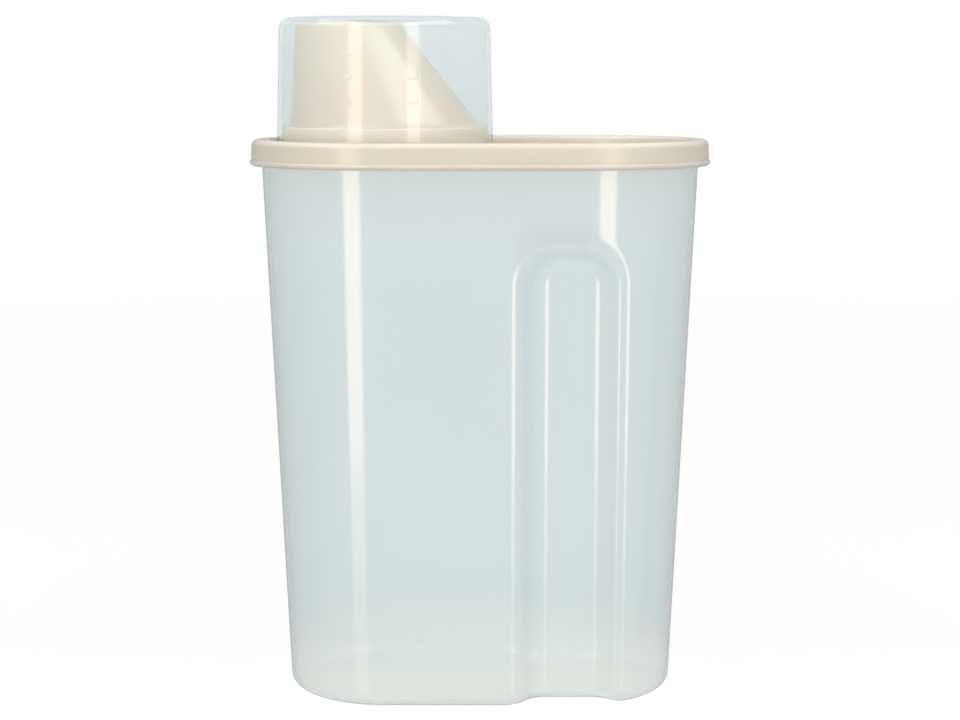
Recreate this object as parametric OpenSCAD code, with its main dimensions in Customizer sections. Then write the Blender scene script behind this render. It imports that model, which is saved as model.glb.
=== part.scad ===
// Pouring canister for washing powder: a tapered, see-through tub with a grip recess on each
// broad face, a push-on lid with a pouring spout, and a clear measuring cup that caps the spout.
// The origin is on the table under the middle of the tub, and +Z is up.
// The long side of the tub runs along X, and the spout stands at the -X end.

/* [Container] */
// Distance between the centres of the two rounded ends
end_spacing = 68.5; // [50:0.5:100]
// Radius of the rounded ends at the rim
rim_r = 44.85; // [40:0.05:60]
// Radius of the rounded ends at the table
base_r = 35.65; // [32:0.05:50]
// Height of the container's rim above the table
tub_h = 200.2; // [160:0.1:260]
// Thickness of the container's walls
tub_wall = 1.4; // [0.8:0.1:2.5]
// Thickness of the container's floor
floor_t = 1.8; // [1:0.1:4]
// Outside radius of the edge between floor and walls
base_edge_r = 5; // [3:0.25:8]
// How far the flange round the rim stands out
flange_w = 1.35; // [0.6:0.05:1.6]
// Thickness of the flange round the rim
flange_t = 2; // [1:0.1:3]

/* [Grip recesses] */
// Distance from the middle of the tub to the middle of the recess, along X
grip_x = 31.9; // [20:0.1:36]
// Width of the flat floor of the recess
grip_floor_w = 12.4; // [8:0.1:24]
// Width of the curved wall that leads from the floor out to the face
grip_wall_w = 16.4; // [8:0.1:20]
// Radius of the upper corners of the recess floor
grip_corner_r = 2; // [0.5:0.25:4]
// Depth of the recess below the flat face
grip_depth = 10; // [4:0.5:12]
// Height of the upper edge of the recess above the table
grip_top = 170.5; // [120:0.5:175]

/* [Lid] */
// Height of the lid's skirt, from its lower edge to the top of the rim
skirt_h = 9.3; // [7:0.1:16]
// Wall thickness of the lid
lid_t = 1.6; // [1:0.1:1.8]
// How far the deck lies below the top of the rim
deck_drop = 6; // [3:0.25:8]
// Radius of the rim's outer top edge
rim_edge_r = 2; // [1:0.1:2.4]
// Radius of the rim's inner top edge
rim_lip_r = 1.2; // [0.5:0.1:1.5]
// Radius of the bead along the lower edge of the skirt
bead_r = 0.9; // [0.5:0.05:1.2]
// How far the bead stands out from the skirt
bead_out = 0.7; // [0.3:0.05:0.8]

/* [Spout] */
// Height of the collar above the deck
collar_h = 10.7; // [6:0.1:16]
// Radius of the collar's top edge
collar_edge_r = 0.6; // [0.2:0.1:1]
// Width of the ledge that the collar leaves round the foot of the spout
ledge_w = 2.8; // [1:0.1:5]
// Radius of the spout's mouth
mouth_r = 18.7; // [12:0.1:22]
// How far the mouth is set over towards the pouring end
mouth_shift = 13.4; // [6:0.1:15]
// Gap between the spout's mouth and the ceiling of the cup
mouth_gap = 0.4; // [0.3:0.1:4]

/* [Measuring cup] */
// How much the cup's radius shrinks from its open rim to its closed end
cup_taper = 1.15; // [0.5:0.05:2.5]
// Height of the cup
cup_h = 49.2; // [40:0.1:70]
// Thickness of the cup's wall and bottom
cup_wall = 1.4; // [0.8:0.1:1.8]
// Outside radius of the edge at the cup's closed end
cup_edge_r = 4; // [2:0.25:6]
// Distance of the first volume mark from the cup's closed end
mark_start = 12.7; // [8:0.1:16]
// Distance from one volume mark to the next
mark_pitch = 8.2; // [5:0.1:10]
// Length of a volume mark round the cup, in degrees
mark_arc = 5; // [2:0.5:12]
// Angle between the cup's front and each of its two columns of marks
mark_angle = 17; // [10:1:40]
// Height of a volume mark
mark_h = 0.8; // [0.4:0.1:1.5]
// How far a volume mark stands out from the wall
mark_out = 0.3; // [0.15:0.05:0.6]

/* [Fits] */
// Gap between the tub's rim and the lid's channel, on each side
rim_gap = 0.45; // [0.3:0.05:0.6]
// Gap between the collar and the inside of the cup, where the cup is tightest
cup_gap = 0.4; // [0.3:0.05:0.8]
// Room for finger tips between the cup and the lid's raised rim
cup_margin = 2.35; // [1.5:0.05:6]

/* [Hidden] */
$fn = 96;
eps = 0.01;

// Plan of the tub and where the spout stands
end_x = end_spacing / 2;
spout_x = -end_x;

// Heights of the lid and the cup above the table
lid_top = tub_h + lid_t;
skirt_z = lid_top - skirt_h;
deck_z = lid_top - deck_drop;
collar_z = deck_z + collar_h;
cup_top = deck_z + cup_h;
mouth_z = cup_top - cup_wall - mouth_gap;

// Channel under the lid's rim that the tub's rim fits into
channel_in = rim_r - tub_wall - rim_gap;
channel_out = rim_r + flange_w + rim_gap;
rim_in = channel_in - lid_t;
lid_r = channel_out + lid_t;

// Radii of the cup, the collar that it fits over and the foot of the spout
cup_rim_r = rim_in - cup_margin;
cup_lean = cup_taper / cup_h;
collar_r = cup_rim_r - cup_wall - cup_lean * collar_h - cup_gap;
spout_base_r = collar_r - ledge_w;

// Number of steps in each curved stretch of the tub
arc_steps = 9;
edge_steps = 3;
wall_steps = 2;
grip_steps = 16;
arch_steps = 8;

// Offset that keeps the wall even where the recess slopes
slope_share = 0.5;

// Limits of the stretch of wall that the recess bends
grip_reach = grip_floor_w / 2 + grip_wall_w + tub_wall + base_edge_r / 2;
grip_x0 = grip_x - grip_reach;
grip_x1 = min(grip_x + grip_reach, end_x + base_r - base_edge_r - tub_wall);
arch_z = grip_top - grip_wall_w - grip_corner_r;

// Radius of the rounded ends at height z, before any inset
function end_r(z) = base_r + (rim_r - base_r) * z / tub_h;

// One arc of the recess wall, as shares of the wall's width and depth
function wall_arc(u) =
    let (k = grip_depth / grip_wall_w)
    let (r = (1 + k * k) / (4 * k))
    (r - sqrt(r * r - u * u)) / k;

// Rise of the recess wall from 0 to 1: two equal arcs that meet half way
function wall_rise(u) =
    let (v = min(1, max(0, u)))
    v < 0.5 ? wall_arc(v) : 1 - wall_arc(1 - v);

// Distance of a point on the face from the recess floor's outline, in the plane of the face
function grip_distance(x, z) =
    let (across = max(0, abs(x - grip_x) - grip_floor_w / 2 + grip_corner_r))
    let (above = max(0, z - arch_z))
    norm([across, above]) - grip_corner_r;

// Half depth of the tub at x, where the recess floor and the plain face blend
function half_depth(x, z, inset) =
    let (r = end_r(z) - inset)
    let (past = max(0, abs(x) - end_x))
    let (face = sqrt(max(0, r * r - past * past)))
    let (floor_y = end_r(z) - inset - grip_depth)
    let (u = (grip_distance(x, z) - inset * slope_share) / grip_wall_w)
    x > grip_x0 && x < grip_x1 ? floor_y + (face - floor_y) * wall_rise(u) : face;

// Front half of one ring of the tub, from its -X tip to its +X tip
function front_x(z, inset) =
    let (r = end_r(z) - inset)
    let (last = asin(min(1, (grip_x1 - end_x) / r)))
    concat(
        [for (i = [0:arc_steps - 1]) -end_x - r * cos(90 * i / arc_steps)],
        [-end_x],
        [for (i = [0:grip_steps]) grip_x0 + (grip_x1 - grip_x0) * i / grip_steps],
        [for (i = [1:arc_steps]) end_x + r * sin(last + (90 - last) * i / arc_steps)]);

// One closed ring of the tub's skin, seen from above and running counter-clockwise
function ring(z, inset) =
    let (xs = front_x(z, inset))
    let (n = len(xs))
    concat(
        [for (i = [0:n - 1]) [xs[i], -half_depth(xs[i], z, inset), z]],
        [for (i = [n - 2:-1:1]) [xs[i], half_depth(xs[i], z, inset), z]]);

// Heights and insets of the rings, up the outside, over the rim and down the inside
inner_edge_r = base_edge_r - tub_wall;
flange_z = tub_h - flange_t;
function wall_heights(low) = concat(
    [for (i = [1:wall_steps]) low + (arch_z - low) * i / wall_steps],
    [for (i = [1:arch_steps]) arch_z + (grip_top + tub_wall - arch_z) * i / arch_steps]);
outside = concat(
    [for (i = [0:edge_steps]) let (a = 90 * i / edge_steps)
        [base_edge_r * (1 - cos(a)), base_edge_r * (1 - sin(a))]],
    [for (z = wall_heights(base_edge_r)) [z, 0]],
    [[flange_z - flange_w, 0], [flange_z, -flange_w], [tub_h, -flange_w]]);
inside = concat(
    [for (i = [0:edge_steps]) let (a = 90 * i / edge_steps)
        [floor_t + inner_edge_r * (1 - cos(a)), tub_wall + inner_edge_r * (1 - sin(a))]],
    [for (z = wall_heights(floor_t + inner_edge_r)) [z, tub_wall]],
    [[tub_h, tub_wall]]);
rings = concat(outside, [for (i = [len(inside) - 1:-1:0]) inside[i]]);

// Closed skin through a stack of rings that all have the same number of points
module skin(stack) {
    n = len(stack[0]);
    last = len(stack) - 1;
    bottom = [for (i = [0:n - 1]) i];
    top = [for (i = [n - 1:-1:0]) last * n + i];
    sides = [for (k = [0:last - 1], i = [0:n - 1], half = [0, 1])
        let (j = (i + 1) % n)
        half == 0 ? [k * n + i, (k + 1) * n + i, (k + 1) * n + j]
                  : [k * n + i, (k + 1) * n + j, k * n + j]];
    polyhedron([for (row = stack) each row], concat([bottom], sides, [top]));
}

// A profile carried round both ends and along both straight sides of the tub's plan
module around_plan() {
    for (side = [-1, 1])
        translate([side * end_x, 0, 0])
            rotate([0, 0, -90 * side])
                rotate_extrude(angle = 180) children();
    rotate([90, 0, 90])
        linear_extrude(end_spacing, center = true) {
            children();
            mirror([1, 0]) children();
        }
}

// Half section of the lid: skirt, rim over the channel, and deck
module lid_profile() {
    difference() {
        union() {
            polygon([
                [rim_in, deck_z - lid_t],
                [rim_in, lid_top - rim_lip_r],
                [rim_in + rim_lip_r, lid_top],
                [lid_r - rim_edge_r, lid_top],
                [lid_r, lid_top - rim_edge_r],
                [lid_r, skirt_z],
                [channel_in, skirt_z],
                [channel_in, deck_z - lid_t]]);
            translate([rim_in + rim_lip_r, lid_top - rim_lip_r]) circle(rim_lip_r);
            translate([lid_r - rim_edge_r, lid_top - rim_edge_r]) circle(rim_edge_r);
            translate([lid_r + bead_out - bead_r, skirt_z + bead_r + bead_out / 2]) circle(bead_r);
        }
        translate([channel_in, skirt_z - lid_t]) square([channel_out - channel_in, tub_h - skirt_z + lid_t]);
    }
    translate([0, deck_z - lid_t]) square([rim_in + lid_t / 2, lid_t]);
}

// Half section of the collar: its wall and the ledge that carries the spout
module collar_profile() {
    ledge_r = spout_base_r - lid_t;
    ledge_z = collar_z - lid_t;
    translate([collar_r - lid_t, deck_z - lid_t]) square([lid_t, collar_h + lid_t - collar_edge_r]);
    translate([ledge_r, ledge_z]) square([collar_r - collar_edge_r - ledge_r, lid_t]);
    translate([collar_r - collar_edge_r, collar_z - collar_edge_r]) circle(collar_edge_r);
}

// Leaning funnel of the spout, from the collar up to the mouth
module funnel(inset, low, high) {
    sides = 48;
    hull() {
        translate([0, 0, low]) cylinder(h = eps, r = spout_base_r - inset, $fn = sides);
        translate([-mouth_shift, 0, high - eps]) cylinder(h = eps, r = mouth_r - inset, $fn = sides);
    }
}

// Outline of the cup from its axis, or of its hollow when inset by the wall
module cup_outline(inset) {
    h = cup_h - inset;
    edge = cup_edge_r - inset;
    long = sqrt(1 + cup_lean * cup_lean);
    rim = cup_rim_r - inset;
    turn_z = h - edge;
    turn_r = rim - cup_lean * turn_z - edge * long;
    polygon([[0, 0], [rim, 0], [turn_r + edge / long, turn_z + edge * cup_lean / long], [turn_r, h], [0, h]]);
    translate([turn_r, turn_z]) circle(edge);
}

// One volume mark, a short bar round the cup's wall at a height above its rim
module cup_mark(angle, z) {
    r = cup_rim_r - cup_lean * z;
    rotate([0, 0, angle - mark_arc / 2])
        rotate_extrude(angle = mark_arc)
            translate([r - cup_wall / 2, z - mark_h / 2]) square([cup_wall / 2 + mark_out, mark_h]);
}

module container() {
    color([0.78, 0.85, 0.85, 0.6])
        skin([for (step = rings) ring(step[0], step[1])]);
}

module lid() {
    color([0.86, 0.82, 0.72])
        difference() {
            union() {
                difference() {
                    around_plan() lid_profile();
                    translate([spout_x, 0, deck_z - 2 * lid_t]) cylinder(h = 3 * lid_t, r = collar_r - lid_t);
                }
                translate([spout_x, 0, 0]) rotate_extrude() collar_profile();
                translate([spout_x, 0, 0]) funnel(0, collar_z - lid_t / 2, mouth_z);
            }
            translate([spout_x, 0, 0]) funnel(lid_t, collar_z - lid_t - eps, mouth_z + eps);
        }
}

module measuring_cup() {
    front = -90;
    color([0.85, 0.91, 0.91, 0.5])
        translate([spout_x, 0, deck_z]) {
            rotate_extrude()
                difference() {
                    cup_outline(0);
                    cup_outline(cup_wall);
                }
            for (i = [0:2]) cup_mark(front - mark_angle, cup_h - mark_start - i * mark_pitch);
            for (i = [1:2]) cup_mark(front + mark_angle, cup_h - mark_start - i * mark_pitch);
        }
}

container();
lid();
measuring_cup();
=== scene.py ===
"""Dresses a see-through pouring canister: tub with grip recesses, lid with spout, and measuring cup."""

from math import asin, atan2, cos, hypot, pi, radians, sin, sqrt

import bpy
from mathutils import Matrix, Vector


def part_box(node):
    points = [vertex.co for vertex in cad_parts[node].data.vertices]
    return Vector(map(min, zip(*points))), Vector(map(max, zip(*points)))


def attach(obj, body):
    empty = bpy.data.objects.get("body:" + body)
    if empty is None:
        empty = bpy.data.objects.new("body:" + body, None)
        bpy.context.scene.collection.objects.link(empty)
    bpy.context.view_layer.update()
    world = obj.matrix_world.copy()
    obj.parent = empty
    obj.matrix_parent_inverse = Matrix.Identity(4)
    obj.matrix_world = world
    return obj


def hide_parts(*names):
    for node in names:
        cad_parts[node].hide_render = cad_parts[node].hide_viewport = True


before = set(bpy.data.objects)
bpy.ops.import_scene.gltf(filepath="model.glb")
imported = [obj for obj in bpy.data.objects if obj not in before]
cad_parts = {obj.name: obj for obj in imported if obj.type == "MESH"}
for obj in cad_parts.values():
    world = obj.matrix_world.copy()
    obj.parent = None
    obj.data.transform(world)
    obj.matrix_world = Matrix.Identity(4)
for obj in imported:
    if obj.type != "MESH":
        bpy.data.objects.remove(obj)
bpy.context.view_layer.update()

bl_info = {
    "name": "Pouring canister",
    "version": (1, 0, 0),
    "blender": (4, 5, 0),
    "location": "View3D > Sidebar > Canister",
    "description": "Models the tub, the lid with its spout and the measuring cup, and sets a studio",
    "category": "Add Mesh",
}

MM = 0.001
WHITE = (1.0, 1.0, 1.0, 1.0)

TUB_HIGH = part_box("container")[1]
LID_LOW, LID_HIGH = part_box("lid")
CUP_LOW, CUP_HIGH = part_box("measuring_cup")
END_X = TUB_HIGH[0] - TUB_HIGH[1]
LID_END_X = LID_HIGH[0] - LID_HIGH[1]

# Faces round the lid and its spout, and the share of the lid's that go to its rounded ends.
LID_COLUMNS = 160
LID_END_SHARE = 0.84
FUNNEL_RINGS = 24
BEAD_START = 65
BEAD_END = -70

# Faces round the cup, and the volume marks in its longer column.
CUP_COLUMNS = 180
CUP_RINGS = 12
MARK_COUNT = 3
MARK_RAMP = 0.5 * MM

FLOOR_SIZE = 12.0
FLOOR_DROP = 0.2 * MM

# Heights of the sky that gloss shows, from 0 straight down to 1 straight up, each with its grey.
SKY_BANDS = ((0.0, 0.5), (0.35, 0.25), (0.6, 0.25), (0.9, 1.0))
SKY_LEVEL = 2.0

LAMP_COLOUR = (1.0, 0.96, 0.89)
SHINE_COLOUR = (1.0, 0.785, 0.585)
SHINE_SHARE = 1.13
STRIP_REACH = 1.0
STRIP_WIDTH = 0.265

# Low end, high end and share of the power of each part of a strip light, which fades downwards.
STRIP_PARTS = ((-0.18, 0.95, 1.0), (-0.28, -0.18, 0.55), (-0.57, -0.28, 0.22))
TOP_SIZE = (1.1, 0.26)
TOP_PLACE = (0.67, -0.31, 1.15)
TOP_AIM = (0, 0, 0.2)
FRONT_SIZE = (0.8, 0.4)
FRONT_PLACE = (0, -1.1, 0.85)
FRONT_AIM = (0, 0, 0.15)
SENSOR_WIDTH = 36.0
VIEW_REACH = 50.0


def size_of(label, words, default):
    """A length property in metres."""
    return bpy.props.FloatProperty(
        name=label, description=words, default=default, unit="LENGTH", precision=5)


def angle_of(label, words, degrees):
    """An angle property, with its default in degrees."""
    return bpy.props.FloatProperty(
        name=label, description=words, default=radians(degrees), subtype="ANGLE")


def power_of(label, words, default):
    """A lamp's power property."""
    return bpy.props.FloatProperty(name=label, description=words, default=default, unit="POWER")


def colour_of(label, words, default):
    """A colour property."""
    return bpy.props.FloatVectorProperty(
        name=label, description=words, default=default, size=3, min=0.0, max=1.0, subtype="COLOR")


class TubSizes(bpy.types.PropertyGroup):
    """Sizes of the tub and its grip recesses."""

    rim_r: size_of("Rim radius", "Radius of the rounded ends at the rim", TUB_HIGH[1] - 1.35 * MM)
    base_r: size_of("Base radius", "Radius of the rounded ends at the table", 35.65 * MM)
    height: size_of("Height", "Height of the rim above the table", TUB_HIGH[2])
    wall: size_of("Wall", "Thickness of the walls", 1.4 * MM)
    floor_t: size_of("Floor", "Thickness of the floor", 1.8 * MM)
    base_edge_r: size_of("Base edge", "Radius of the edge round the floor", 5.0 * MM)
    flange_w: size_of("Flange width", "How far the rim's flange stands out", 1.35 * MM)
    flange_t: size_of("Flange thickness", "Thickness of the rim's flange", 2.0 * MM)
    grip_x: size_of("Grip place", "Distance of the grip recess from the middle", 31.9 * MM)
    grip_floor_w: size_of("Grip floor", "Width of the flat floor of the recess", 12.4 * MM)
    grip_wall_w: size_of("Grip wall", "Width of the curved wall of the recess", 16.4 * MM)
    grip_corner_r: size_of("Grip corner", "Corner radius of the recess floor", 2.0 * MM)
    grip_depth: size_of("Grip depth", "Depth of the recess", 10.0 * MM)
    grip_top: size_of("Grip top", "Height of the upper edge of the recess", 170.5 * MM)


class LidSizes(bpy.types.PropertyGroup):
    """Sizes of the lid, its collar and its spout."""

    wall: size_of("Wall", "Wall thickness of the lid", 1.6 * MM)
    skirt_r: size_of("Skirt radius", "Radius of the skirt's rounded ends", LID_HIGH[1] - 0.7 * MM)
    skirt_z: size_of("Skirt edge", "Height of the skirt's lower edge", LID_LOW[2])
    rim_edge_r: size_of("Outer edge", "Radius of the rim's outer top edge", 2.0 * MM)
    rim_lip_r: size_of("Inner edge", "Radius of the rim's inner top edge", 1.2 * MM)
    bead_r: size_of("Bead radius", "Radius of the bead along the skirt", 0.9 * MM)
    bead_out: size_of("Bead reach", "How far the bead stands out", 0.7 * MM)
    rim_gap: size_of("Rim gap", "Gap between the tub's rim and the lid's channel", 0.45 * MM)
    deck_z: size_of("Deck", "Height of the deck", CUP_LOW[2])
    collar_r: size_of("Collar radius", "Radius of the collar", 37.0 * MM)
    collar_h: size_of("Collar height", "Height of the collar above the deck", 10.7 * MM)
    collar_edge_r: size_of("Collar edge", "Radius of the collar's top edge", 0.6 * MM)
    ledge_w: size_of("Ledge", "Width of the ledge round the foot of the spout", 2.8 * MM)
    mouth_r: size_of("Mouth radius", "Radius of the spout's mouth", 18.7 * MM)
    mouth_shift: size_of("Mouth shift", "How far the mouth is set over", 13.4 * MM)
    mouth_z: size_of("Mouth height", "Height of the spout's mouth", LID_HIGH[2])


class CupSizes(bpy.types.PropertyGroup):
    """Sizes of the measuring cup and its volume marks."""

    rim_r: size_of("Rim radius", "Radius at the open rim", (CUP_HIGH[0] - CUP_LOW[0]) / 2)
    taper: size_of("Taper", "How much the radius shrinks to the closed end", 1.15 * MM)
    wall: size_of("Wall", "Thickness of wall and bottom", 1.4 * MM)
    edge_r: size_of("Edge", "Radius of the edge at the closed end", 4.0 * MM)
    mark_start: size_of("First mark", "Distance of the first mark from the closed end", 12.7 * MM)
    mark_pitch: size_of("Mark pitch", "Distance from one mark to the next", 8.2 * MM)
    mark_h: size_of("Mark height", "Height of a mark", 0.8 * MM)
    mark_out: size_of("Mark reach", "How far a mark stands out", 0.3 * MM)
    mark_arc: angle_of("Mark arc", "Length of a mark round the cup", 5)
    mark_angle: angle_of("Mark angle", "Angle from the front to each column of marks", 17)


class Finishes(bpy.types.PropertyGroup):
    """Colours of the three plastics."""

    tub: colour_of("Tub", "Tint of the translucent tub", (0.838, 0.888, 0.901))
    lid: colour_of("Lid", "Beige of the lid", (0.751, 0.711, 0.631))
    cup: colour_of("Cup", "Tint of the clear cup", (0.848, 0.894, 0.916))


class Studio(bpy.types.PropertyGroup):
    """Camera and lights."""

    distance: size_of("Distance", "Distance of the camera from the middle of the tub", 0.781)
    height: size_of("Height", "Height of the camera above the table", 0.2275)
    pitch: angle_of("Pitch", "How far the camera looks down", 7.76)
    lens: bpy.props.FloatProperty(
        name="Lens", description="Focal length of the camera", default=80.6, unit="CAMERA")
    strip_azimuth: angle_of("Strip azimuth", "Angle of each strip light from the front", 30.5)
    strip_power: power_of("Strip power", "Power of each strip light per metre of height", 3.2)
    top_power: power_of("Top power", "Power of each raised soft light", 4.6)
    front_power: power_of("Front power", "Power of the soft light over the camera", 1.0)
    ambient: bpy.props.FloatProperty(
        name="Ambient", description="Light that comes from all round", default=0.21)


class CanisterSettings(bpy.types.PropertyGroup):
    """Everything that a user would change."""

    tub: bpy.props.PointerProperty(type=TubSizes)
    lid: bpy.props.PointerProperty(type=LidSizes)
    cup: bpy.props.PointerProperty(type=CupSizes)
    finishes: bpy.props.PointerProperty(type=Finishes)
    studio: bpy.props.PointerProperty(type=Studio)


def steps(low, high, count):
    """Evenly spaced values from low to high, both ends included."""
    return [low + (high - low) * i / count for i in range(count + 1)]


def arc(centre, radius, start, end, count):
    """Points along an arc in a profile, with angles in degrees from the outward direction."""
    return [(centre[0] + radius * cos(radians(a)), centre[1] + radius * sin(radians(a)))
            for a in steps(start, end, count)]


def raise_tube(name, columns, rings, place, loop=False):
    """Extrudes a circle ring by ring, closes its ends and moves each corner to place(column, ring)."""
    bpy.ops.object.select_all(action="DESELECT")
    bpy.ops.mesh.primitive_circle_add(vertices=columns, radius=1.0, location=(0, 0, 0))
    piece = bpy.context.active_object
    piece.name = name
    piece.data.name = name
    bpy.ops.object.mode_set(mode="EDIT")
    bpy.ops.mesh.select_all(action="SELECT")
    for _ in range(rings - 1):
        bpy.ops.mesh.extrude_region_move(TRANSFORM_OT_translate={"value": (0, 0, 1)})
    bpy.ops.object.mode_set(mode="OBJECT")
    corners = piece.data.vertices
    turns = [atan2(v.co.y, v.co.x) / (2 * pi) for v in corners]
    spots = [(round(turn * columns) % columns, round(v.co.z)) for turn, v in zip(turns, corners)]
    for ends in ([(0, rings - 1)] if loop else [(0,), (rings - 1,)]):
        select_rings(piece, spots, ends)
        bpy.ops.object.mode_set(mode="EDIT")
        if loop:
            bpy.ops.mesh.bridge_edge_loops()
        else:
            bpy.ops.mesh.edge_face_add()
        bpy.ops.object.mode_set(mode="OBJECT")
    for corner, (column, ring) in zip(corners, spots):
        corner.co = place(column, ring)
    bpy.ops.object.mode_set(mode="EDIT")
    bpy.ops.mesh.select_all(action="SELECT")
    bpy.ops.mesh.normals_make_consistent(inside=False)
    bpy.ops.object.mode_set(mode="OBJECT")
    return piece


def select_rings(piece, spots, wanted):
    """Selects the corners of whole rings, and the edges between them."""
    mesh = piece.data
    for face in mesh.polygons:
        face.select = False
    for corner, (_, ring) in zip(mesh.vertices, spots):
        corner.select = ring in wanted
    for edge in mesh.edges:
        a, b = edge.vertices
        edge.select = spots[a][1] in wanted and spots[a][1] == spots[b][1]


def smooth_piece(piece, angle):
    """Smooths the piece, with hard lines where its faces meet at more than the angle."""
    bpy.ops.object.select_all(action="DESELECT")
    piece.select_set(True)
    bpy.context.view_layer.objects.active = piece
    bpy.ops.object.shade_smooth_by_angle(angle=angle)


def combine(piece, tool, operation):
    """Joins the tool to the piece, or cuts it away, and deletes the tool."""
    bpy.ops.object.select_all(action="DESELECT")
    piece.select_set(True)
    bpy.context.view_layer.objects.active = piece
    cut = piece.modifiers.new("Combine", "BOOLEAN")
    cut.operation = operation
    cut.solver = "EXACT"
    cut.object = tool
    bpy.ops.object.modifier_apply(modifier=cut.name)
    bpy.data.objects.remove(tool)


def check_closed(piece):
    """Stops with an error when the piece has an open edge or no faces."""
    bpy.ops.object.mode_set(mode="EDIT")
    bpy.ops.mesh.select_mode(type="EDGE")
    bpy.ops.mesh.select_all(action="DESELECT")
    bpy.ops.mesh.select_non_manifold()
    bpy.ops.object.mode_set(mode="OBJECT")
    if not piece.data.polygons or any(edge.select for edge in piece.data.edges):
        raise RuntimeError(f"{piece.name} isn't a closed shape")


def finish_piece(piece, node, body, finish):
    """Gives a finished piece its plastic, its body and the CAD solid that it stands for."""
    check_closed(piece)
    piece.data.materials.clear()
    piece.data.materials.append(finish)
    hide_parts(node)
    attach(piece, body)


def plan_spot(turn, radius):
    """Point at a radius round the lid's plan, where turn 0 to 1 covers both ends and both sides."""
    half_turn = turn * 2 % 1
    side = 1 if turn < 0.5 else -1
    if half_turn < LID_END_SHARE:
        angle = radians(-90 + 180 * half_turn / LID_END_SHARE)
        x = LID_END_X + radius * cos(angle)
        y = radius * sin(angle)
    else:
        along = (half_turn - LID_END_SHARE) / (1 - LID_END_SHARE)
        x = LID_END_X * (1 - 2 * along)
        y = radius
    return side * x, side * y


class TubShape:
    """Works out the tub's skin from its sizes."""

    # Columns along the front half of a ring: first end, plain side, recess and second end.
    ARC, SIDE, GRIP, TIP = 32, 10, 72, 20

    # Rings round the floor's edge, below the arch of the recess, round the arch and above it.
    EDGE_RINGS, LOW_RINGS, ARCH_RINGS, TOP_RINGS = 10, 14, 36, 4

    def __init__(self, sizes):
        self.s = sizes
        reach = sizes.grip_floor_w / 2 + sizes.grip_wall_w + sizes.wall + sizes.base_edge_r / 2
        self.grip_low = sizes.grip_x - reach
        inner_end = END_X + sizes.base_r - sizes.base_edge_r - sizes.wall
        self.grip_high = min(sizes.grip_x + reach, inner_end)
        self.arch_z = sizes.grip_top - sizes.grip_wall_w - sizes.grip_corner_r

    def end_r(self, z):
        """Radius of the rounded ends at a height."""
        return self.s.base_r + (self.s.rim_r - self.s.base_r) * z / self.s.height

    def half_depth(self, x, z, inset):
        """Half depth of the tub at x, where the recess floor and the plain face blend."""
        s = self.s
        r = self.end_r(z) - inset
        past = max(0.0, abs(x) - END_X)
        face = sqrt(max(0.0, r * r - past * past))
        if not self.grip_low < x < self.grip_high:
            return face
        across = max(0.0, abs(x - s.grip_x) - s.grip_floor_w / 2 + s.grip_corner_r)
        above = max(0.0, z - self.arch_z)
        out = hypot(across, above) - s.grip_corner_r
        share = min(1.0, max(0.0, (out - inset / 2) / s.grip_wall_w))
        floor = r - s.grip_depth
        return floor + (face - floor) * self.wall_rise(share)

    def wall_rise(self, share):
        """Rise of the recess wall from 0 to 1, by two equal arcs that meet half way."""
        k = self.s.grip_depth / self.s.grip_wall_w
        r = (1 + k * k) / (4 * k)
        near = min(share, 1 - share)
        rise = (r - sqrt(r * r - near * near)) / k
        return rise if share < 0.5 else 1 - rise

    def front(self, z, inset):
        """X of the points along the front half of a ring."""
        r = self.end_r(z) - inset
        last = asin(min(1.0, (self.grip_high - END_X) / r))
        left = [-END_X - r * cos(a) for a in steps(0, pi / 2, self.ARC)]
        side = steps(-END_X, self.grip_low, self.SIDE)[1:]
        grip = steps(self.grip_low, self.grip_high, self.GRIP)[1:]
        tip = [END_X + r * sin(a) for a in steps(last, pi / 2, self.TIP)[1:]]
        return left + side + grip + tip

    def ring(self, z, inset):
        """Closed ring of the skin at a height."""
        xs = self.front(z, inset)
        front = [(x, -self.half_depth(x, z, inset), z) for x in xs]
        back = [(x, self.half_depth(x, z, inset), z) for x in xs[-2:0:-1]]
        return front + back

    def heights(self, low):
        """Heights of the wall's rings, close together where the recess arches over."""
        s = self.s
        below = steps(low, self.arch_z, self.LOW_RINGS)[1:]
        return below + steps(self.arch_z, s.grip_top + s.wall, self.ARCH_RINGS)[1:]

    def edge(self, low, inset, radius):
        """Heights and insets round the edge of the floor."""
        return [(low + radius * (1 - cos(a)), inset + radius * (1 - sin(a)))
                for a in steps(0, pi / 2, self.EDGE_RINGS)]

    def rings(self):
        """Rings up the outside, over the rim and down the inside."""
        s = self.s
        flange_z = s.height - s.flange_t
        inner_r = s.base_edge_r - s.wall
        soft = 0.35 * MM
        outside = self.edge(0.0, 0.0, s.base_edge_r) + [(z, 0.0) for z in self.heights(s.base_edge_r)]
        outside += [(z, 0.0) for z in steps(outside[-1][0], flange_z - s.flange_w, self.TOP_RINGS)[1:]]
        rim = [(flange_z, -s.flange_w), (s.height - soft, -s.flange_w), (s.height, soft - s.flange_w),
               (s.height, s.wall - soft), (s.height - soft, s.wall)]
        inside = self.edge(s.floor_t, s.wall, inner_r)
        inside += [(z, s.wall) for z in self.heights(s.floor_t + inner_r)]
        inside += [(z, s.wall) for z in steps(inside[-1][0], flange_z, self.TOP_RINGS)[1:]]
        return [self.ring(z, inset) for z, inset in outside + rim + inside[::-1]]


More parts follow.
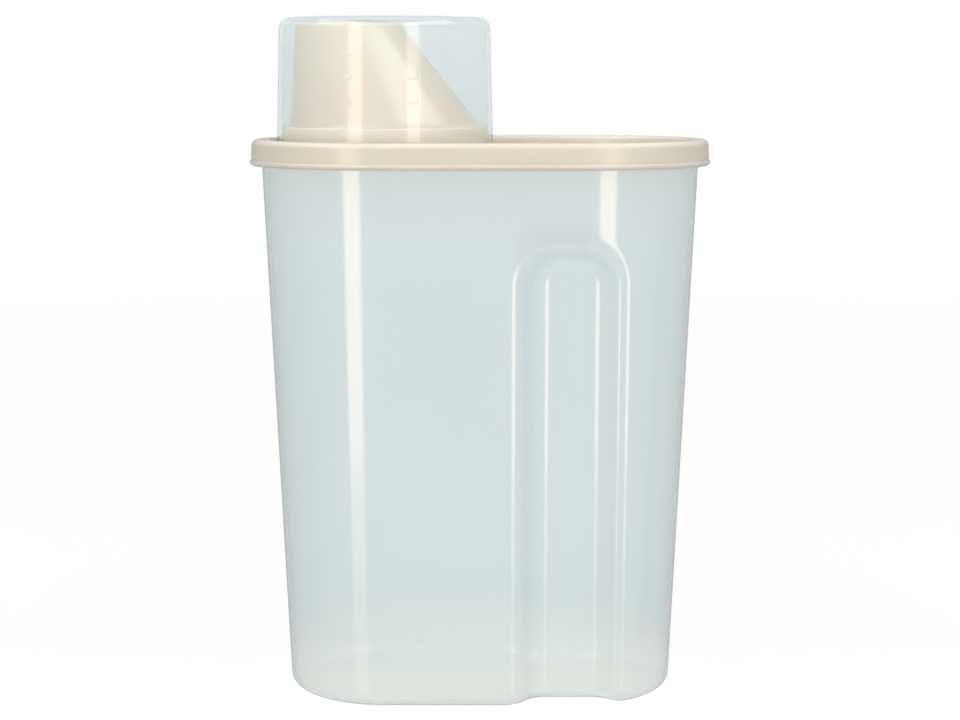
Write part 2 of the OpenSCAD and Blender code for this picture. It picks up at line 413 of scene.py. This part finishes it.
def lid_profile(s, tub):
    """Section of the lid from the deck's top, over the rim and round the channel to its underside."""
    lid_top = tub.height + s.wall
    channel_in = tub.rim_r - tub.wall - s.rim_gap
    channel_out = s.skirt_r - s.wall
    rim_in = channel_in - s.wall
    deck_foot = 0.8 * MM
    soft = 0.3 * MM
    bead = (s.skirt_r + s.bead_out - s.bead_r, s.skirt_z + s.bead_r + s.bead_out / 2)
    under = s.deck_z - s.wall
    foot = (rim_in - deck_foot, s.deck_z + deck_foot)
    lip = (rim_in + s.rim_lip_r, lid_top - s.rim_lip_r)
    edge = (s.skirt_r - s.rim_edge_r, lid_top - s.rim_edge_r)
    return (arc(foot, deck_foot, -90, 0, count=5)
            + arc(lip, s.rim_lip_r, 180, 90, count=7)
            + arc(edge, s.rim_edge_r, 90, 0, count=10)
            + arc(bead, s.bead_r, BEAD_START, BEAD_END, count=12)
            + [(s.skirt_r - soft, s.skirt_z), (channel_out + soft, s.skirt_z)]
            + [(channel_out, s.skirt_z + soft), (channel_out, tub.height)]
            + [(channel_in, tub.height), (channel_in, under + soft), (channel_in - soft, under)])


def spout_profile(s):
    """Section of the collar and the leaning funnel, as radius, height and shift, up and back down."""
    collar_z = s.deck_z + s.collar_h
    foot_r = s.collar_r - s.ledge_w
    blend = 0.9 * MM
    lip = s.wall / 2
    lip_drop = 0.3 * lip
    low = s.deck_z - s.wall / 2
    edge = (s.collar_r - s.collar_edge_r, collar_z - s.collar_edge_r)

    def funnel(z, inset):
        share = (z - collar_z) / (s.mouth_z - collar_z)
        return foot_r + (s.mouth_r - foot_r) * share - inset, z, s.mouth_shift * share

    collar = [(s.collar_r, low), (s.collar_r, s.deck_z + s.wall)]
    collar += arc(edge, s.collar_edge_r, 0, 90, count=5)
    outside = [(r, z, 0.0) for r, z in collar]
    outside += [(foot_r + blend, collar_z, 0.0), (foot_r + 0.25 * blend, collar_z + 0.15 * blend, 0.0)]
    outside += [funnel(z, 0.0) for z in steps(collar_z + blend, s.mouth_z - lip, FUNNEL_RINGS)]
    mouth = [funnel(s.mouth_z - lip_drop, lip_drop), funnel(s.mouth_z, lip),
             funnel(s.mouth_z - lip_drop, s.wall - lip_drop)]
    inside = [funnel(z, s.wall) for z in steps(s.mouth_z - lip, collar_z - s.wall, FUNNEL_RINGS)]
    inner_r = s.collar_r - s.wall
    return outside + mouth + inside + [(inner_r, collar_z - s.wall, 0.0), (inner_r, low, 0.0)]


def cup_profile(s, height):
    """Half section of the cup, from the middle of its top, down the outside and up the hollow."""
    lean = s.taper / height

    def skin(inset):
        edge = s.edge_r - inset
        turn_z = height - inset - edge
        turn_r = s.rim_r - inset - lean * turn_z - edge * sqrt(1 + lean * lean)
        return arc((turn_r, turn_z), edge, 90, 0, CUP_RINGS)

    soft = 0.4 * MM
    inner_r = s.rim_r - s.wall
    decimals = 7
    levels = sorted({round(z, decimals) for z in wall_levels(s, height)})
    outside = [(s.rim_r - lean * z, z) for z in levels[::-1]]
    rim = [(s.rim_r, soft), (s.rim_r - soft, 0.0), (inner_r + soft, 0.0), (inner_r, soft)]
    hollow_top = skin(s.wall)[::-1]
    hollow = [(inner_r - lean * z, z) for z in steps(soft, hollow_top[0][1], CUP_RINGS)[1:-1]]
    return skin(0.0) + outside + rim + hollow + hollow_top


def mark_heights(s, height):
    """Heights of the volume marks above the cup's rim."""
    return [height - s.mark_start - i * s.mark_pitch for i in range(MARK_COUNT)]


def mark_slope(offset, half):
    """Share of a mark's full reach at an offset from its middle, where its soft edge lies half way out."""
    return min(1.0, max(0.0, (half - offset) / MARK_RAMP + 0.5))


def wall_levels(s, height):
    """Heights of the rings on the outside wall: the edges of the marks, and a few between them."""
    for z in mark_heights(s, height):
        for offset in (s.mark_h / 2 - MARK_RAMP / 2, s.mark_h / 2, s.mark_h / 2 + MARK_RAMP / 2):
            yield z - offset
            yield z + offset
    margin = 2 * MM
    clear = 2 * s.mark_h
    plain_rings = 9
    for z in steps(margin, height - s.edge_r - margin, plain_rings):
        if all(abs(z - mark) > clear for mark in mark_heights(s, height)):
            yield z


def shader(name):
    """A new material, its main shader and its nodes."""
    finish = bpy.data.materials.new(name)
    finish.use_nodes = True
    return finish, finish.node_tree.nodes["Principled BSDF"], finish.node_tree


def add_ripple(tree, main, scale, strength, distance):
    """Faint moulded unevenness that a glossy surface shows in its reflections."""
    coords = tree.nodes.new("ShaderNodeTexCoord")
    noise = tree.nodes.new("ShaderNodeTexNoise")
    noise.inputs["Scale"].default_value = scale
    noise.inputs["Detail"].default_value = 2.0
    bump = tree.nodes.new("ShaderNodeBump")
    bump.inputs["Strength"].default_value = strength
    bump.inputs["Distance"].default_value = distance
    tree.links.new(coords.outputs["Object"], noise.inputs["Vector"])
    tree.links.new(noise.outputs["Fac"], bump.inputs["Height"])
    tree.links.new(bump.outputs["Normal"], main.inputs["Normal"])


def let_lamps_through(tree, main, tint):
    """Lets lamps light what stands behind a see-through wall, with a soft tinted shadow."""
    path = tree.nodes.new("ShaderNodeLightPath")
    clear = tree.nodes.new("ShaderNodeBsdfTransparent")
    clear.inputs["Color"].default_value = (*tint, 1.0)
    mix = tree.nodes.new("ShaderNodeMixShader")
    tree.links.new(path.outputs["Is Shadow Ray"], mix.inputs[0])
    tree.links.new(main.outputs["BSDF"], mix.inputs[1])
    tree.links.new(clear.outputs["BSDF"], mix.inputs[2])
    tree.links.new(mix.outputs["Shader"], tree.nodes["Material Output"].inputs["Surface"])


def add_absorption(tree, colour, density):
    """Takes up light along the way through the wall, so that edges look deeper."""
    absorb = tree.nodes.new("ShaderNodeVolumeAbsorption")
    absorb.inputs["Color"].default_value = (*colour, 1.0)
    absorb.inputs["Density"].default_value = density
    tree.links.new(absorb.outputs["Volume"], tree.nodes["Material Output"].inputs["Volume"])


def see_through(name, colour, haze, gloss, gloss_ior, tint):
    """Thin see-through plastic: light goes almost straight through, and a clear skin carries the gloss."""
    finish, main, tree = shader(name)
    main.inputs["Base Color"].default_value = (*colour, 1.0)
    main.inputs["Transmission Weight"].default_value = 1.0 - haze
    main.inputs["Roughness"].default_value = 0.08
    main.inputs["IOR"].default_value = 1.02
    main.inputs["Coat Weight"].default_value = gloss
    main.inputs["Coat Roughness"].default_value = 0.12
    main.inputs["Coat IOR"].default_value = gloss_ior
    let_lamps_through(tree, main, tint)
    return finish, main, tree


def fill_ramp(ramp, stops):
    """Sets a colour ramp's stops, each a place from 0 to 1 and a colour."""
    marks = ramp.color_ramp.elements
    while len(marks) < len(stops):
        marks.new(0.5)
    for mark, (place, colour) in zip(marks, stops):
        mark.position = place
        mark.color = (*colour, 1.0)


def shade_by_height(tree, main, stops):
    """Base colour that changes with height, from stops of height in metres and colour."""
    coords = tree.nodes.new("ShaderNodeTexCoord")
    split = tree.nodes.new("ShaderNodeSeparateXYZ")
    top = stops[-1][0]
    share = tree.nodes.new("ShaderNodeMath")
    share.operation = "DIVIDE"
    share.inputs[1].default_value = top
    ramp = tree.nodes.new("ShaderNodeValToRGB")
    fill_ramp(ramp, [(height / top, colour) for height, colour in stops])
    tree.links.new(coords.outputs["Object"], split.inputs[0])
    tree.links.new(split.outputs["Z"], share.inputs[0])
    tree.links.new(share.outputs[0], ramp.inputs["Fac"])
    tree.links.new(ramp.outputs["Color"], main.inputs["Base Color"])


def tub_plastic(colour):
    """Translucent polypropylene of the tub, paler in its floor zone by painted light and warmer under the
    lid by a painted reflection of the beige lid.
    """
    finish, main, tree = see_through(
        "translucent_polypropylene", colour, haze=0.06, gloss=1.0, gloss_ior=1.62, tint=(0.93, 0.95, 0.95))
    # Painted light: the bottom band is paler, standing in for the lit table seen through the floor; the
    # low stop just above it is a touch darker than the tub's colour.
    painted_light = (0.907, 0.926, 0.91)
    low = (0.825, 0.878, 0.89)
    # Painted reflection: the top under the lid is tinted warm, standing in for the beige lid reflected in
    # the wall.
    painted_lid_reflection = (0.85, 0.88, 0.87)
    shade_by_height(tree, main, [
        (0.0, painted_light), (10 * MM, painted_light), (26 * MM, low),
        (60 * MM, colour), (165 * MM, colour), (200 * MM, painted_lid_reflection)])
    add_ripple(tree, main, scale=45.0, strength=0.12, distance=0.4 * MM)
    add_absorption(tree, (0.66, 0.72, 0.72), density=55.0)
    return finish


def lid_plastic(colour, rim_z, sizes):
    """Glossy beige polypropylene of the lid, paler on its rim and collar by painted light and deeper on
    bead and spout by painted shade.
    """
    finish, main, tree = shader("beige_polypropylene")
    # Painted shade: the bead and the spout are darker than the lid's own beige.
    painted_shade = [0.95 * c for c in colour]
    # Painted light: the rim and the collar are paler than the lid's own beige.
    painted_light = [1.1 * c for c in colour]
    bead_z = sizes.skirt_z + 2 * sizes.bead_r
    skirt_top = rim_z - sizes.rim_edge_r
    collar_z = sizes.deck_z + sizes.collar_h
    shade_by_height(tree, main, [
        (sizes.skirt_z, painted_shade), (bead_z, painted_shade), (bead_z + 1.5 * MM, colour), (skirt_top, colour),
        (rim_z, painted_light), (collar_z, painted_light), (collar_z + 1.0 * MM, painted_shade), (sizes.mouth_z, painted_shade)])
    main.inputs["Roughness"].default_value = 0.22
    main.inputs["IOR"].default_value = 1.49
    main.inputs["Subsurface Weight"].default_value = 0.7
    main.inputs["Subsurface Radius"].default_value = (1.0, 0.85, 0.6)
    main.inputs["Subsurface Scale"].default_value = 3.0 * MM
    add_ripple(tree, main, scale=60.0, strength=0.08, distance=0.3 * MM)
    return finish


def cup_plastic(colour):
    """Clear polypropylene of the cup, a little paler towards its closed end."""
    finish, main, tree = see_through(
        "clear_polypropylene", colour, haze=0.08, gloss=0.2, gloss_ior=2.6, tint=(0.951, 0.892, 0.876))
    clear_top = (0.854, 0.91, 0.925)
    shade_by_height(tree, main, [(CUP_LOW[2], colour), (CUP_HIGH[2], clear_top)])
    add_ripple(tree, main, scale=50.0, strength=0.08, distance=0.3 * MM)
    add_absorption(tree, (0.72, 0.75, 0.75), density=8.0)
    return finish


def seen_directly(tree):
    """Socket that is 1 for what the camera sees, also through plastic."""
    path = tree.nodes.new("ShaderNodeLightPath")
    seen = tree.nodes.new("ShaderNodeMath")
    seen.operation = "MAXIMUM"
    tree.links.new(path.outputs["Is Camera Ray"], seen.inputs[0])
    tree.links.new(path.outputs["Is Transmission Ray"], seen.inputs[1])
    return seen.outputs[0]


class CANISTER_OT_tub(bpy.types.Operator):
    """Model the tub with its grip recesses"""

    bl_idname = "canister.tub"
    bl_label = "Tub"

    def execute(self, context):
        settings = context.scene.canister
        rings = TubShape(settings.tub).rings()
        piece = raise_tube("tub", len(rings[0]), len(rings), lambda column, ring: rings[ring][column])
        smooth_piece(piece, angle=radians(40))
        finish_piece(piece, "container", "tub", tub_plastic(settings.finishes.tub))
        return {"FINISHED"}


class CANISTER_OT_lid(bpy.types.Operator):
    """Model the lid with its collar and pouring spout"""

    bl_idname = "canister.lid"
    bl_label = "Lid"

    def execute(self, context):
        settings = context.scene.canister
        sizes = settings.lid
        spout_x = -END_X
        profile = lid_profile(sizes, settings.tub)

        def lid_place(column, ring):
            radius, z = profile[ring]
            return *plan_spot(column / LID_COLUMNS, radius), z

        piece = raise_tube("lid_cover", LID_COLUMNS, len(profile), lid_place)
        hole_r = sizes.collar_r - sizes.wall / 2
        hole_h = 4 * sizes.wall
        bpy.ops.mesh.primitive_cylinder_add(
            vertices=LID_COLUMNS, radius=hole_r, depth=hole_h, location=(spout_x, 0, sizes.deck_z))
        combine(piece, context.active_object, "DIFFERENCE")
        section = spout_profile(sizes)
        rim_z = settings.tub.height + sizes.wall

        def spout_place(column, ring):
            r, z, shift = section[ring]
            angle = 2 * pi * column / LID_COLUMNS
            return spout_x - shift + r * cos(angle), r * sin(angle), z

        spout = raise_tube("spout", LID_COLUMNS, len(section), spout_place, loop=True)
        combine(piece, spout, "UNION")
        smooth_piece(piece, angle=radians(35))
        finish = lid_plastic(settings.finishes.lid, rim_z, sizes)
        finish_piece(piece, "lid", "lid", finish)
        return {"FINISHED"}


class CANISTER_OT_cup(bpy.types.Operator):
    """Model the measuring cup with its volume marks"""

    bl_idname = "canister.cup"
    bl_label = "Measuring cup"

    def execute(self, context):
        settings = context.scene.canister
        s = settings.cup
        low = CUP_LOW[2]
        height = CUP_HIGH[2] - low
        profile = cup_profile(s, height)
        last_outside = max(i for i, (r, _) in enumerate(profile) if r > s.rim_r - s.wall / 2)
        front = -pi / 2
        half_ramp = MARK_RAMP / s.rim_r / 2
        edges = [s.mark_arc / 2 + k * half_ramp for k in (-1, 0, 1)]
        near = [front + side * s.mark_angle + edge * flip
                for side in (-1, 1) for edge in edges for flip in (-1, 1)]
        angles = sorted([2 * pi * i / CUP_COLUMNS - pi for i in range(CUP_COLUMNS)] + near)
        # The column on the right lacks the mark that is nearest the closed end.
        marks = {-1: mark_heights(s, height), 1: mark_heights(s, height)[1:]}

        def raised(angle, z):
            """How far the wall stands out at a spot."""
            shares = [0.0]
            for side, heights in marks.items():
                across = abs(angle - front - side * s.mark_angle) * s.rim_r
                beside = mark_slope(across, s.mark_arc * s.rim_r / 2)
                shares += [min(beside, mark_slope(abs(z - m), s.mark_h / 2)) for m in heights]
            return s.mark_out * max(shares)

        def place(column, ring):
            r, z = profile[ring]
            angle = angles[column]
            r += raised(angle, z) if ring <= last_outside else 0.0
            return -END_X + r * cos(angle), r * sin(angle), low + z

        piece = raise_tube("cup", len(angles), len(profile), place)
        smooth_piece(piece, angle=radians(40))
        finish_piece(piece, "measuring_cup", "cup", cup_plastic(settings.finishes.cup))
        return {"FINISHED"}


class CANISTER_OT_stage(bpy.types.Operator):
    """Set the floor, the light and the camera"""

    bl_idname = "canister.stage"
    bl_label = "Stage"

    def execute(self, context):
        studio = context.scene.canister.studio
        self.floor()
        self.world(context.scene, studio.ambient)
        for side in (-1, 1):
            self.strip(side, studio)
            self.top_light(side, studio)
        self.front_light(studio)
        self.camera(context.scene, studio)
        context.scene.view_settings.view_transform = "Standard"
        return {"FINISHED"}

    def floor(self):
        """Lays a white floor that glows for the camera and keeps the shadow."""
        bpy.ops.object.select_all(action="DESELECT")
        bpy.ops.mesh.primitive_plane_add(size=FLOOR_SIZE, location=(0, 0, -FLOOR_DROP))
        floor = bpy.context.active_object
        floor.name = "floor"
        floor.visible_glossy = False
        finish, main, tree = shader("white_floor")
        main.inputs["Roughness"].default_value = 1.0
        main.inputs["Specular IOR Level"].default_value = 0.0
        main.inputs["Emission Color"].default_value = WHITE
        seen = seen_directly(tree)
        lit_grey = (0.8, 0.8, 0.8, 1.0)
        seen_grey = (0.3, 0.3, 0.3, 1.0)
        shade = tree.nodes.new("ShaderNodeMix")
        shade.data_type = "RGBA"
        shade.inputs["A"].default_value = lit_grey
        shade.inputs["B"].default_value = seen_grey
        tree.links.new(seen, shade.inputs["Factor"])
        tree.links.new(shade.outputs["Result"], main.inputs["Base Color"])
        coords = tree.nodes.new("ShaderNodeTexCoord")
        reach = tree.nodes.new("ShaderNodeVectorMath")
        reach.operation = "LENGTH"
        glow = tree.nodes.new("ShaderNodeMapRange")
        glow.inputs["From Min"].default_value = 0.2
        glow.inputs["From Max"].default_value = 2.0
        glow.inputs["To Min"].default_value = 0.8
        glow.inputs["To Max"].default_value = 0.95
        level = tree.nodes.new("ShaderNodeMath")
        level.operation = "MULTIPLY"
        tree.links.new(coords.outputs["Object"], reach.inputs[0])
        tree.links.new(reach.outputs["Value"], glow.inputs["Value"])
        tree.links.new(glow.outputs["Result"], level.inputs[0])
        tree.links.new(seen, level.inputs[1])
        tree.links.new(level.outputs[0], main.inputs["Emission Strength"])
        floor.data.materials.append(finish)

    def world(self, scene, ambient):
        """Sets even light all round, a banded sky for gloss and plain white for the camera."""
        world = bpy.data.worlds.new("studio")
        scene.world = world
        world.use_nodes = True
        tree = world.node_tree
        background = tree.nodes["Background"]
        background.inputs["Color"].default_value = WHITE
        path = tree.nodes.new("ShaderNodeLightPath")
        coords = tree.nodes.new("ShaderNodeTexCoord")
        split = tree.nodes.new("ShaderNodeSeparateXYZ")
        height = tree.nodes.new("ShaderNodeMapRange")
        height.inputs["From Min"].default_value = -1.0
        bands = tree.nodes.new("ShaderNodeValToRGB")
        fill_ramp(bands, [(place, (grey, grey, grey)) for place, grey in SKY_BANDS])
        sky = tree.nodes.new("ShaderNodeMath")
        sky.operation = "MULTIPLY"
        sky.inputs[1].default_value = SKY_LEVEL
        tree.links.new(coords.outputs["Generated"], split.inputs[0])
        tree.links.new(split.outputs["Z"], height.inputs["Value"])
        tree.links.new(height.outputs["Result"], bands.inputs["Fac"])
        tree.links.new(bands.outputs["Color"], sky.inputs[0])
        gloss = tree.nodes.new("ShaderNodeMapRange")
        gloss.inputs["To Min"].default_value = ambient
        tree.links.new(path.outputs["Is Glossy Ray"], gloss.inputs["Value"])
        tree.links.new(sky.outputs[0], gloss.inputs["To Max"])
        # The white counts only for a ray that has met no dull surface yet, so that it lights nothing.
        through = tree.nodes.new("ShaderNodeMath")
        through.operation = "LESS_THAN"
        through.inputs[1].default_value = 0.5
        tree.links.new(path.outputs["Diffuse Depth"], through.inputs[0])
        level = tree.nodes.new("ShaderNodeMapRange")
        tree.links.new(seen_directly(tree), level.inputs["Value"])
        tree.links.new(gloss.outputs["Result"], level.inputs["To Min"])
        tree.links.new(through.outputs[0], level.inputs["To Max"])
        tree.links.new(level.outputs["Result"], background.inputs["Strength"])

    def lamp(self, name, size, power, place, aim):
        """Hangs a soft rectangular lamp that shines from its place towards its aim."""
        bpy.ops.object.light_add(type="AREA", location=place)
        lamp = bpy.context.active_object
        lamp.name = name
        lamp.data.shape = "RECTANGLE"
        lamp.data.size = size[0]
        lamp.data.size_y = size[1]
        lamp.data.energy = power
        direction = Vector(aim) - Vector(place)
        lamp.rotation_euler = direction.to_track_quat("-Z", "Y").to_euler()
        lamp.data.color = LAMP_COLOUR
        lamp.visible_camera = False
        return lamp

    def strip(self, side, studio):
        """Hangs one upright strip light, with a warmer twin that shows as a long bar in the gloss."""
        x = side * STRIP_REACH * sin(studio.strip_azimuth)
        y = -STRIP_REACH * cos(studio.strip_azimuth)
        for low, high, share in STRIP_PARTS:
            z = (low + high) / 2
            size = (STRIP_WIDTH, high - low)
            power = studio.strip_power * share * (high - low)
            lamp = self.lamp("strip_light", size, power, (x, y, z), (0, 0, z))
            lamp.visible_transmission = False
            lamp.visible_glossy = False
            # Rays that leave a glossy surface pass this lamp by and find its twin.
            lamp.data.cycles.use_multiple_importance_sampling = False
            shine = self.lamp("strip_shine", size, SHINE_SHARE * power, (x, y, z), (0, 0, z))
            shine.data.color = SHINE_COLOUR
            shine.visible_transmission = False
            shine.visible_diffuse = False

    def top_light(self, side, studio):
        """Hangs a raised soft light on one side."""
        x, y, z = TOP_PLACE
        self.lamp("top_light", TOP_SIZE, studio.top_power, (side * x, y, z), TOP_AIM)

    def front_light(self, studio):
        """Hangs a soft light over the camera."""
        self.lamp("front_light", FRONT_SIZE, studio.front_power, FRONT_PLACE, FRONT_AIM)

    def camera(self, scene, studio):
        """Sets the camera in front, looking a little down."""
        bpy.ops.object.camera_add(
            location=(0, -studio.distance, studio.height), rotation=(pi / 2 - studio.pitch, 0, 0))
        camera = bpy.context.active_object
        camera.data.sensor_width = SENSOR_WIDTH
        camera.data.lens = studio.lens
        camera.data.clip_end = VIEW_REACH
        scene.camera = camera


class CANISTER_PT_sidebar(bpy.types.Panel):
    """Lists the canister's pieces and their sizes"""

    bl_label = "Pouring canister"
    bl_idname = "CANISTER_PT_sidebar"
    bl_space_type = "VIEW_3D"
    bl_region_type = "UI"
    bl_category = "Canister"

    def draw(self, context):
        settings = context.scene.canister
        for operator, group in ((CANISTER_OT_tub, settings.tub), (CANISTER_OT_lid, settings.lid),
                                (CANISTER_OT_cup, settings.cup), (CANISTER_OT_stage, settings.studio)):
            box = self.layout.box()
            box.operator(operator.bl_idname)
            for name in group.__annotations__:
                box.prop(group, name)
        for name in settings.finishes.__annotations__:
            self.layout.prop(settings.finishes, name)


CLASSES = (TubSizes, LidSizes, CupSizes, Finishes, Studio, CanisterSettings, CANISTER_OT_tub,
           CANISTER_OT_lid, CANISTER_OT_cup, CANISTER_OT_stage, CANISTER_PT_sidebar)


def register():
    """Makes the classes and the scene's settings known to Blender."""
    for cls in CLASSES:
        bpy.utils.register_class(cls)
    bpy.types.Scene.canister = bpy.props.PointerProperty(type=CanisterSettings)


def unregister():
    """Takes the settings and the classes out again."""
    del bpy.types.Scene.canister
    for cls in reversed(CLASSES):
        bpy.utils.unregister_class(cls)


def main():
    """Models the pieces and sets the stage."""
    register()
    bpy.ops.canister.tub()
    bpy.ops.canister.lid()
    bpy.ops.canister.cup()
    bpy.ops.canister.stage()
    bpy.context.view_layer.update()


if __name__ == "__main__":
    main()
